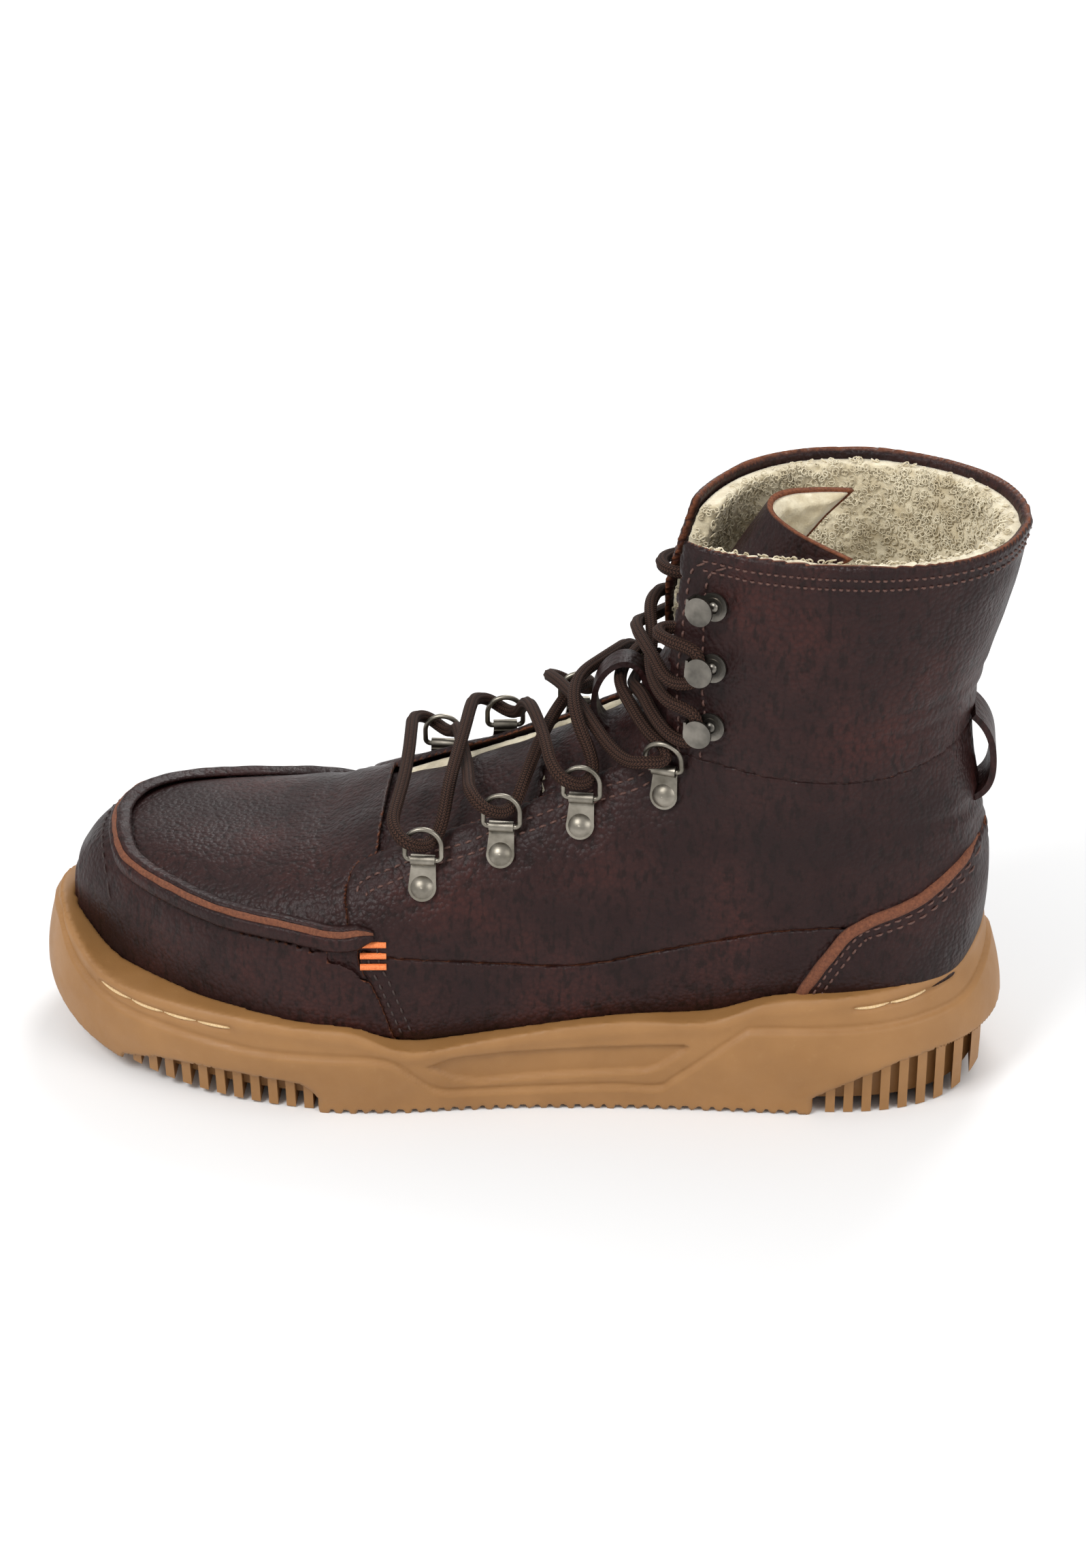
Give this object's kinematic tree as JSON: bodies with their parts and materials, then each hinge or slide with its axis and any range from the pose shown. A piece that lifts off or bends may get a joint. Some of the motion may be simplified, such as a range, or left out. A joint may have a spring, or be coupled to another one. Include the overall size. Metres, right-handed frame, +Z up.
{
  "type": "lace-up boot",
  "caption": "Left ankle-high moc-toe lace-up boot with a fleece lining, a cup sole with ribbed treads, swinging D-rings, speed hooks, a lace keeper and a heel pull loop",
  "frame": {"origin": "on the ground under the middle of the sole, where the flat face of the sole rests", "axes": "+X towards the heel, -Y the outer (lateral) side, +Y the inner (medial) side, +Z up"},
  "size_m": [0.3052, 0.1145, 0.1875],
  "materials": {
    "brown_leather": "oiled pull-up leather, fine pebble grain, rust-brown cut edges",
    "fleece": "curly cream fleece",
    "stiffener": "plain sheet",
    "gum_rubber": "matte gum rubber",
    "foam": "fine closed-cell foam",
    "steel": "plain strip",
    "fibreboard": "pressed fibreboard",
    "footbed_felt": "wool felt",
    "antique_nickel": "brushed antique nickel",
    "gunmetal": "dark nickel, leaf brushed bright",
    "lace_cord": "round braid, matte",
    "clear_plastic": "smooth",
    "orange_thread": "thick waxed thread",
    "cream_thread": "waxed thread"
  },
  "bodies": {
    "boot": {"heel_foxing": "brown_leather", "ankle_cuff": "brown_leather", "apron": "brown_leather", "toe_wall": "brown_leather", "side_panel_lateral": "brown_leather", "quarter_lateral": "brown_leather", "side_panel_medial": "brown_leather", "quarter_medial": "brown_leather", "toe_puff": "stiffener", "heel_counter": "stiffener", "vamp_lining": "fleece", "quarter_lining": "fleece", "cuff_lining": "fleece", "cup_sole": "gum_rubber", "midsole": "foam", "shank": "steel", "insole_board": "fibreboard", "footbed": "footbed_felt", "forefoot_tread": "gum_rubber", "heel_tread": "gum_rubber", "tongue_root_leather": "brown_leather", "tongue_root_fleece": "fleece", "ring_clips_lateral": "antique_nickel", "ring_rivets_lateral": "antique_nickel", "speed_hooks_lateral": "gunmetal", "hook_rivets_lateral": "gunmetal", "ring_clips_medial": "antique_nickel", "ring_rivets_medial": "antique_nickel", "speed_hooks_medial": "gunmetal", "hook_rivets_medial": "gunmetal", "lace_keeper": "brown_leather", "pull_loop": "brown_leather", "bar_tacks": "orange_thread", "sole_stitching": "cream_thread", "lace": "lace_cord", "aglet_lateral": "clear_plastic", "aglet_medial": "clear_plastic"},
    "tongue_flap": {"tongue_flap_leather": "brown_leather", "tongue_flap_fleece": "fleece"},
    "d_ring_lateral_1": {"d_ring_lateral_1": "antique_nickel"},
    "d_ring_lateral_2": {"d_ring_lateral_2": "antique_nickel"},
    "d_ring_lateral_3": {"d_ring_lateral_3": "antique_nickel"},
    "d_ring_lateral_4": {"d_ring_lateral_4": "antique_nickel"},
    "d_ring_medial_1": {"d_ring_medial_1": "antique_nickel"},
    "d_ring_medial_2": {"d_ring_medial_2": "antique_nickel"},
    "d_ring_medial_3": {"d_ring_medial_3": "antique_nickel"},
    "d_ring_medial_4": {"d_ring_medial_4": "antique_nickel"}
  },
  "joints": [
    {"name": "tongue_fold", "type": "hinge", "parent": "boot", "child": "tongue_flap", "pos_m": [0.05, 0, 0.122], "axis": [0, 1, 0], "range_deg": [-5, 11], "stiffness_Nm_per_rad": 0.15, "deforming": ["lace"]},
    {"name": "d_ring_lateral_1_swing", "type": "hinge", "parent": "boot", "child": "d_ring_lateral_1", "pos_m": [-0.02543, -0.03895, 0.08316], "axis": [0.999, -0.0438, 0], "range_deg": [-8, 12], "stiffness_Nm_per_rad": 0.002, "deforming": ["lace"]},
    {"name": "d_ring_lateral_2_swing", "type": "hinge", "parent": "boot", "child": "d_ring_lateral_2", "pos_m": [-0.00191, -0.03451, 0.09325], "axis": [0.9985, -0.0543, 0], "range_deg": [-8, 12], "stiffness_Nm_per_rad": 0.002, "deforming": ["lace"]},
    {"name": "d_ring_lateral_3_swing", "type": "hinge", "parent": "boot", "child": "d_ring_lateral_3", "pos_m": [0.02213, -0.03158, 0.10241], "axis": [0.9957, -0.0929, 0], "range_deg": [-8, 12], "stiffness_Nm_per_rad": 0.002, "deforming": ["lace"]},
    {"name": "d_ring_lateral_4_swing", "type": "hinge", "parent": "boot", "child": "d_ring_lateral_4", "pos_m": [0.04709, -0.03284, 0.11349], "axis": [0.9627, -0.2707, 0], "range_deg": [-8, 12], "stiffness_Nm_per_rad": 0.002, "deforming": ["lace"]},
    {"name": "d_ring_medial_1_swing", "type": "hinge", "parent": "boot", "child": "d_ring_medial_1", "pos_m": [-0.02602, 0.03335, 0.08559], "axis": [-1, 0.0095, 0], "range_deg": [-8, 12], "stiffness_Nm_per_rad": 0.002, "deforming": ["lace"]},
    {"name": "d_ring_medial_2_swing", "type": "hinge", "parent": "boot", "child": "d_ring_medial_2", "pos_m": [-0.00574, 0.0284, 0.09557], "axis": [-0.9925, -0.1224, 0], "range_deg": [-8, 12], "stiffness_Nm_per_rad": 0.002, "deforming": ["lace"]},
    {"name": "d_ring_medial_3_swing", "type": "hinge", "parent": "boot", "child": "d_ring_medial_3", "pos_m": [0.01733, 0.02697, 0.10516], "axis": [-0.9806, -0.1958, 0], "range_deg": [-8, 12], "stiffness_Nm_per_rad": 0.002, "deforming": ["lace"]},
    {"name": "d_ring_medial_4_swing", "type": "hinge", "parent": "boot", "child": "d_ring_medial_4", "pos_m": [0.04198, 0.02968, 0.11532], "axis": [-0.9526, -0.3041, 0], "range_deg": [-8, 12], "stiffness_Nm_per_rad": 0.002, "deforming": ["lace"]}
  ]
}
